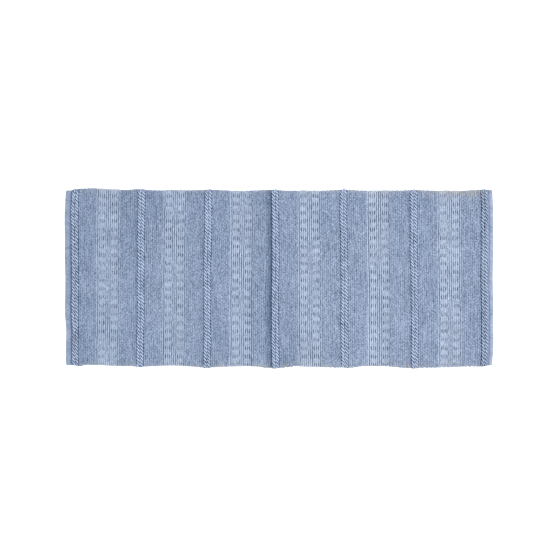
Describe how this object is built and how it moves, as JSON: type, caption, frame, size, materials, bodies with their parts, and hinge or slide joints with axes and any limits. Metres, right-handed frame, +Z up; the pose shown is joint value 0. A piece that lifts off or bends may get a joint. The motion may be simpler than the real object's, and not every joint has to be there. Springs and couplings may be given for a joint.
{
  "type": "runner rug",
  "caption": "Long narrow flat-woven runner rug with soft chenille grounds, raised cord pattern bands, heavy twisted cross ribs and taped hems; it lies flat and rolls up",
  "frame": {"origin": "middle of the underside, on the floor that the runner lies on, at rest", "axes": "+X along the runner's length, from the left hem to the right hem; +Y across it; +Z up, out of the pile side"},
  "size_m": [1.524, 0.632, 0.0116],
  "materials": {
    "chenille": "matte",
    "pattern_cord": "matte",
    "rib_cord": "matte",
    "hem_tape": "matte",
    "heading_cloth": "matte",
    "warp": "matte",
    "hem_thread": "matte"
  },
  "bodies": {
    "left_end": {"left_hem_binding": "hem_tape", "left_heading": "heading_cloth", "left_hem_seam": "hem_thread", "rib_1": "rib_cord", "warp_01": "warp"},
    "chenille_band_01": {"chenille_01": "chenille", "warp_02": "warp"},
    "pattern_band_1": {"pattern_1": "pattern_cord", "warp_03": "warp"},
    "chenille_band_02": {"chenille_02": "chenille", "warp_04": "warp"},
    "ribbed_band_2": {"rib_2": "rib_cord", "chenille_03": "chenille", "warp_05": "warp"},
    "pattern_band_2": {"pattern_2": "pattern_cord", "warp_06": "warp"},
    "chenille_band_04": {"chenille_04": "chenille", "warp_07": "warp"},
    "ribbed_band_3": {"rib_3": "rib_cord", "chenille_05": "chenille", "warp_08": "warp"},
    "pattern_band_3": {"pattern_3": "pattern_cord", "warp_09": "warp"},
    "chenille_band_06": {"chenille_06": "chenille", "warp_10": "warp"},
    "ribbed_band_4": {"rib_4": "rib_cord", "chenille_07": "chenille", "warp_11": "warp"},
    "pattern_band_4": {"pattern_4": "pattern_cord", "warp_12": "warp"},
    "chenille_band_08": {"chenille_08": "chenille", "warp_13": "warp"},
    "ribbed_band_5": {"rib_5": "rib_cord", "chenille_09": "chenille", "warp_14": "warp"},
    "pattern_band_5": {"pattern_5": "pattern_cord", "warp_15": "warp"},
    "chenille_band_10": {"chenille_10": "chenille", "warp_16": "warp"},
    "ribbed_band_6": {"rib_6": "rib_cord", "chenille_11": "chenille", "warp_17": "warp"},
    "pattern_band_6": {"pattern_6": "pattern_cord", "warp_18": "warp"},
    "chenille_band_12": {"chenille_12": "chenille", "warp_19": "warp"},
    "right_end": {"right_hem_binding": "hem_tape", "right_heading": "heading_cloth", "right_hem_seam": "hem_thread", "rib_7": "rib_cord", "warp_20": "warp"}
  },
  "joints": [
    {"name": "bend_01", "type": "hinge", "parent": "chenille_band_01", "child": "left_end", "pos_m": [-0.7136, 0, 0.005], "axis": [0, 1, 0], "range_deg": [0, 42]},
    {"name": "bend_02", "type": "hinge", "parent": "pattern_band_1", "child": "chenille_band_01", "pos_m": [-0.6525, 0, 0.005], "axis": [0, 1, 0], "range_deg": [0, 54]},
    {"name": "bend_03", "type": "hinge", "parent": "chenille_band_02", "child": "pattern_band_1", "pos_m": [-0.5655, 0, 0.005], "axis": [0, 1, 0], "range_deg": [0, 50]},
    {"name": "bend_04", "type": "hinge", "parent": "ribbed_band_2", "child": "chenille_band_02", "pos_m": [-0.5044, 0, 0.005], "axis": [0, 1, 0], "range_deg": [0, 48]},
    {"name": "bend_05", "type": "hinge", "parent": "pattern_band_2", "child": "ribbed_band_2", "pos_m": [-0.4166, 0, 0.005], "axis": [0, 1, 0], "range_deg": [0, 53]},
    {"name": "bend_06", "type": "hinge", "parent": "chenille_band_04", "child": "pattern_band_2", "pos_m": [-0.3296, 0, 0.005], "axis": [0, 1, 0], "range_deg": [0, 43]},
    {"name": "bend_07", "type": "hinge", "parent": "ribbed_band_3", "child": "chenille_band_04", "pos_m": [-0.2668, 0, 0.005], "axis": [0, 1, 0], "range_deg": [0, 42]},
    {"name": "bend_08", "type": "hinge", "parent": "pattern_band_3", "child": "ribbed_band_3", "pos_m": [-0.1773, 0, 0.005], "axis": [0, 1, 0], "range_deg": [0, 47]},
    {"name": "bend_09", "type": "hinge", "parent": "chenille_band_06", "child": "pattern_band_3", "pos_m": [-0.0903, 0, 0.005], "axis": [0, 1, 0], "range_deg": [0, 39]},
    {"name": "bend_10", "type": "hinge", "parent": "ribbed_band_4", "child": "chenille_band_06", "pos_m": [-0.0258, 0, 0.005], "axis": [0, 1, 0], "range_deg": [0, 39]},
    {"name": "bend_11", "type": "hinge", "parent": "pattern_band_4", "child": "ribbed_band_4", "pos_m": [0.0654, 0, 0.005], "axis": [0, 1, 0], "range_deg": [0, 43]},
    {"name": "bend_12", "type": "hinge", "parent": "chenille_band_08", "child": "pattern_band_4", "pos_m": [0.1524, 0, 0.005], "axis": [0, 1, 0], "range_deg": [0, 35]},
    {"name": "bend_13", "type": "hinge", "parent": "ribbed_band_5", "child": "chenille_band_08", "pos_m": [0.2186, 0, 0.005], "axis": [0, 1, 0], "range_deg": [0, 36]},
    {"name": "bend_14", "type": "hinge", "parent": "pattern_band_5", "child": "ribbed_band_5", "pos_m": [0.3115, 0, 0.005], "axis": [0, 1, 0], "range_deg": [0, 39]},
    {"name": "bend_15", "type": "hinge", "parent": "chenille_band_10", "child": "pattern_band_5", "pos_m": [0.3985, 0, 0.005], "axis": [0, 1, 0], "range_deg": [0, 33]},
    {"name": "bend_16", "type": "hinge", "parent": "ribbed_band_6", "child": "chenille_band_10", "pos_m": [0.4664, 0, 0.005], "axis": [0, 1, 0], "range_deg": [0, 34]},
    {"name": "bend_17", "type": "hinge", "parent": "pattern_band_6", "child": "ribbed_band_6", "pos_m": [0.561, 0, 0.005], "axis": [0, 1, 0], "range_deg": [0, 37]},
    {"name": "bend_18", "type": "hinge", "parent": "chenille_band_12", "child": "pattern_band_6", "pos_m": [0.648, 0, 0.005], "axis": [0, 1, 0], "range_deg": [0, 31]},
    {"name": "bend_19", "type": "hinge", "parent": "right_end", "child": "chenille_band_12", "pos_m": [0.7176, 0, 0.005], "axis": [0, 1, 0], "range_deg": [0, 22]}
  ]
}
